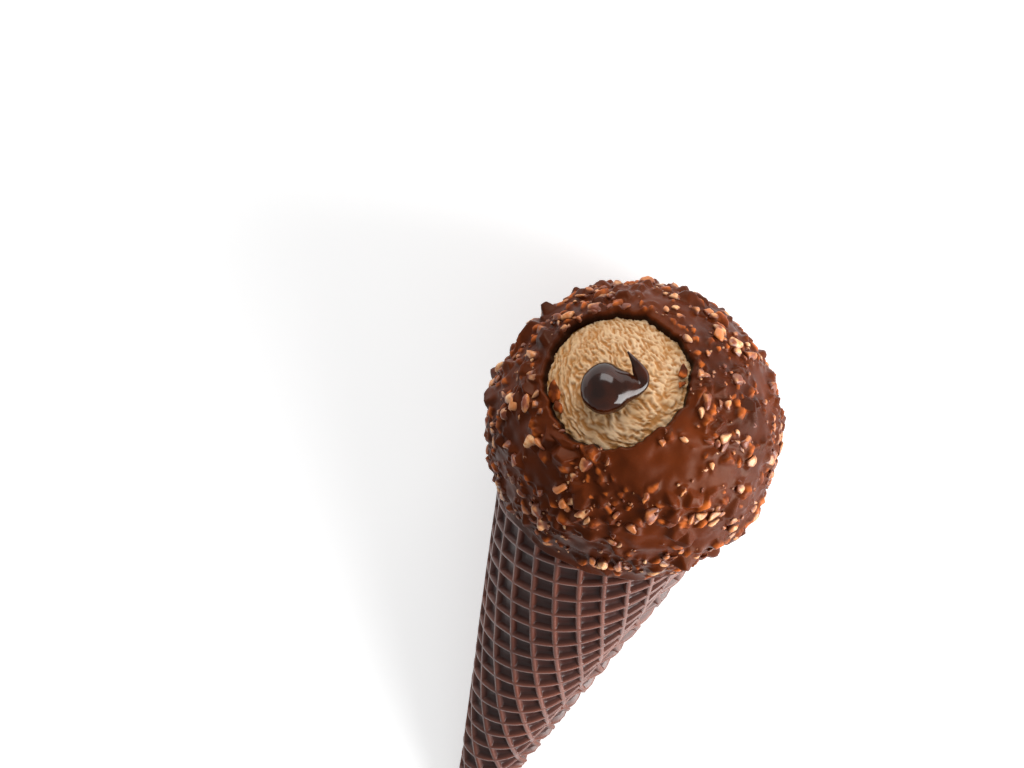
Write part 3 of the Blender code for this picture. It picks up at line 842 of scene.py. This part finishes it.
def sauce_drop(finish):
    """The drop and its curled tail, as rings across its middle line, flat on the ice cream."""
    rings, sides = 90, 48

    def place(along):
        value = line_value(SAUCE_LINE, along)
        middle = BALL_CENTRE + WINDOW_OUT * (BALL_RADIUS + value[2])
        middle = middle + FACE_ACROSS * value[0] + FACE_UP * value[1]
        return middle, max(value[3], 0.04)

    points = []
    turns = np.arange(sides) / sides * 2.0 * math.pi
    for index in range(rings + 1):
        along = index / rings
        middle, radius = place(along)
        ahead = place(min(1.0, along + 0.01))[0] - place(max(0.0, along - 0.01))[0]
        side = unit(np.cross(ahead, WINDOW_OUT))
        over = unit(np.cross(side, ahead))
        beside = np.outer(np.cos(turns), side)
        above = np.outer(SAUCE_FLATTEN * np.sin(turns), over)
        ring = middle + radius * (beside + above)
        points.append(ring)
    points.append([place(0.0)[0], place(1.0)[0]])
    points = np.concatenate(points)
    away = points - BALL_CENTRE
    distance = np.linalg.norm(away, axis=1, keepdims=True)
    points = BALL_CENTRE + away / distance * np.maximum(distance, BALL_RADIUS - 0.1)
    faces = grid_faces(rings + 1, sides)
    first, last = len(points) - 2, rings * sides
    faces += [((side + 1) % sides, side, first) for side in range(sides)]
    faces += [(last + side, last + (side + 1) % sides, first + 1) for side in range(sides)]
    piece = add_piece("sauce_swirl", points, faces, finish)
    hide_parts("sauce_drop")


# Floor, lamps and camera


def stage():
    """A plain pale floor, which glows faintly so that it comes out near white."""
    mesh = bpy.data.meshes.new("floor")
    reach = 3.0
    corners = [(-reach, -reach, 0), (reach, -reach, 0), (reach, reach, 0), (-reach, reach, 0)]
    mesh.from_pydata(corners, [], [(0, 1, 2, 3)])
    finish = Finish("pale_floor", 0.9)
    finish.set("Base Color", (0.92, 0.92, 0.92, 1.0))
    finish.set("Emission Color", (1.0, 1.0, 1.0, 1.0))
    finish.set("Emission Strength", 0.4)
    finish.set("Specular IOR Level", 0.1)
    mesh.materials.append(finish.material)
    floor = bpy.data.objects.new("floor", mesh)
    bpy.context.scene.collection.objects.link(floor)


def camera_axes():
    """The camera's right, up and back directions in the world."""
    back = Vector(CAMERA_PLACE) - Vector(CAMERA_AIM)
    back.normalize()
    up = Vector(CAMERA_UP)
    right = up.cross(back).normalized()
    up = back.cross(right)
    return [(AXES @ way).normalized() for way in (right, up, back)]


def add_camera():
    data = bpy.data.cameras.new("camera")
    data.lens = CAMERA_LENS
    data.clip_start = 0.01
    camera = bpy.data.objects.new("camera", data)
    bpy.context.scene.collection.objects.link(camera)
    place = Vector(cone_to_world(np.array([CAMERA_PLACE]))[0])
    turn = Matrix(camera_axes()).transposed().to_4x4()
    camera.matrix_world = Matrix.Translation(place) @ turn
    bpy.context.scene.camera = camera


def add_lamp(name, way, distance, width, height, power):
    """A white lamp that faces the ball; way is in the camera's right, up and back."""
    right, up, back = camera_axes()
    facing = (right * way[0] + up * way[1] + back * way[2]).normalized()
    middle = Vector(cone_to_world(np.array([BALL_CENTRE - (0.0, 0.0, 25.0)]))[0])
    data = bpy.data.lights.new(name, "AREA")
    data.shape = "RECTANGLE"
    data.size = width
    data.size_y = height
    data.energy = power
    lamp = bpy.data.objects.new(name, data)
    lamp.location = middle + facing * distance
    lamp.rotation_euler = facing.to_track_quat("Z", "Y").to_euler()
    bpy.context.scene.collection.objects.link(lamp)


def light():
    world = bpy.data.worlds.new("studio")
    world.use_nodes = True
    world.node_tree.nodes["Background"].inputs["Color"].default_value = (1.0, 1.0, 1.0, 1.0)
    world.node_tree.nodes["Background"].inputs["Strength"].default_value = 0.42
    bpy.context.scene.world = world
    add_lamp("top_lamp", (0.08, 0.8, 0.6), 0.9, 0.8, 0.4, 5.6)
    add_lamp("right_lamp", (0.87, -0.45, 0.36), 0.45, 0.34, 0.34, 4.0)
    scene = bpy.context.scene
    scene.view_settings.view_transform = "Standard"


def main():
    stage()
    add_camera()
    light()
    waffle = waffle_finish()
    waffle_cone(waffle)
    waffle_tip(waffle)
    nuts = scatter_nuts()
    chocolate = chocolate_finish()
    chocolate_coat(chocolate, nuts)
    coat_flakes(chocolate)
    bare = [nut for nut in nuts if nut.kind == "bare"]
    crumbs = [nut for nut in nuts if nut.kind == "crumb"]
    pale, golden, skin = srgb(234, 184, 132), srgb(192, 110, 48), srgb(124, 56, 22)
    cut = nut_finish("cut_nut", pale, golden, skin, 0.45, 0.1)
    nut_pieces("nut_chips", bare, 3, cut, 21, 0.34, 0.75)
    nut_pieces("nut_crumbs", crumbs, 2, cut, 22, 0.15, 0.75)
    cream = ice_cream_finish()
    scooped_face(cream)
    sauce_drop(sauce_finish())
    ball = bpy.data.objects["ice_cream"]
    ball.material_slots[0].material = cream


main()
